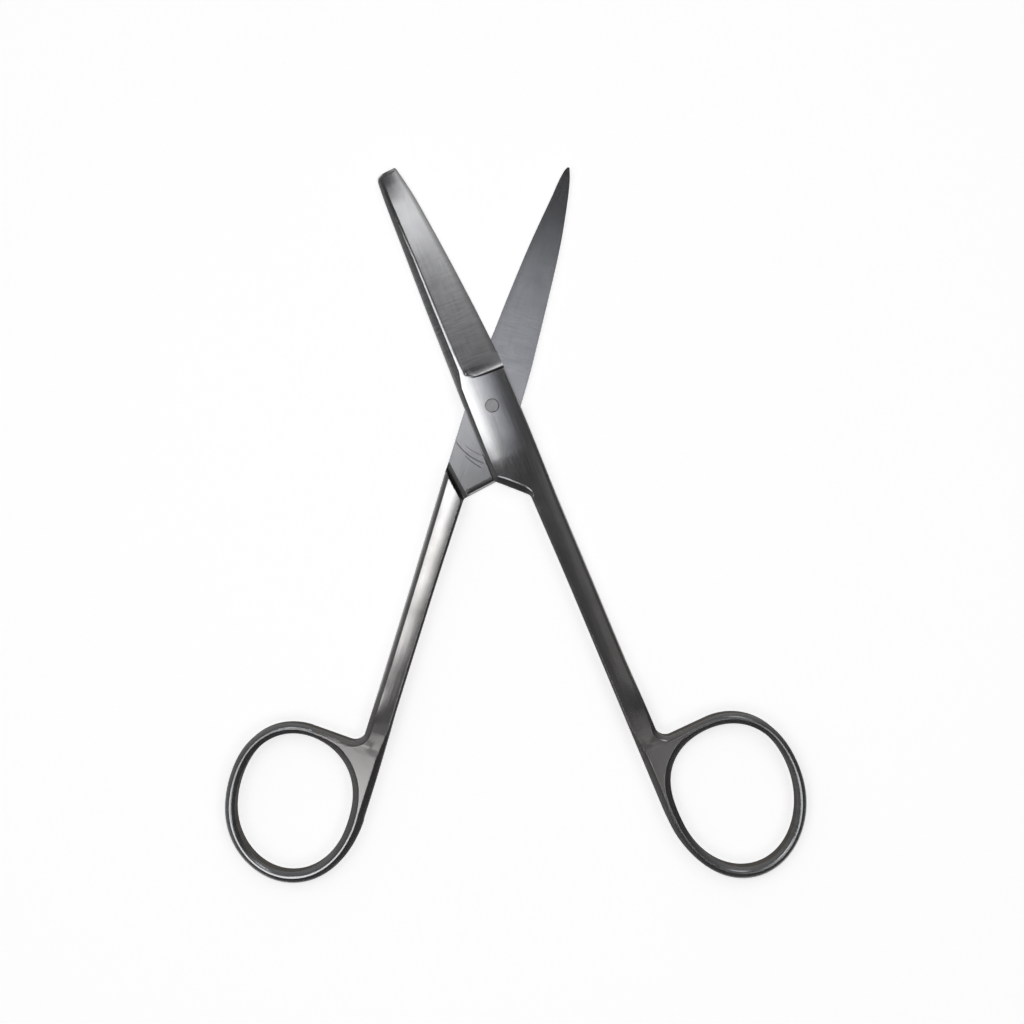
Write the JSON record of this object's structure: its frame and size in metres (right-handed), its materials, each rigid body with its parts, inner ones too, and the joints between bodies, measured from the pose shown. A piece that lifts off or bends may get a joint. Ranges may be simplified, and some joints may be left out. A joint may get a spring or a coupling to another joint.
{
  "type": "operating scissors",
  "caption": "Straight sharp/blunt operating scissors: lapped steel levers on a flush pivot screw, with slender oval shanks and oval finger rings.",
  "frame": {"origin": "on the pivot axis, in the lap plane where the two levers meet", "axes": "+Z along the pivot axis out of the blunt lever's face, towards the viewer of the picture; +Y up the picture towards the blade tips; +X to the right of the picture"},
  "size_m": [0.1057, 0.13, 0.0044],
  "materials": {
    "lever_steel": "satin",
    "screw_steel": "satin"
  },
  "bodies": {
    "front_lever": {"blunt_lever": "lever_steel", "pivot_screw": "screw_steel"},
    "rear_lever": {"sharp_lever": "lever_steel"}
  },
  "joints": [
    {"name": "blade_pivot", "type": "hinge", "parent": "front_lever", "child": "rear_lever", "pos_m": [0, 0, 0], "axis": [0, 0, -1], "range_deg": [-39.9, 100]}
  ]
}
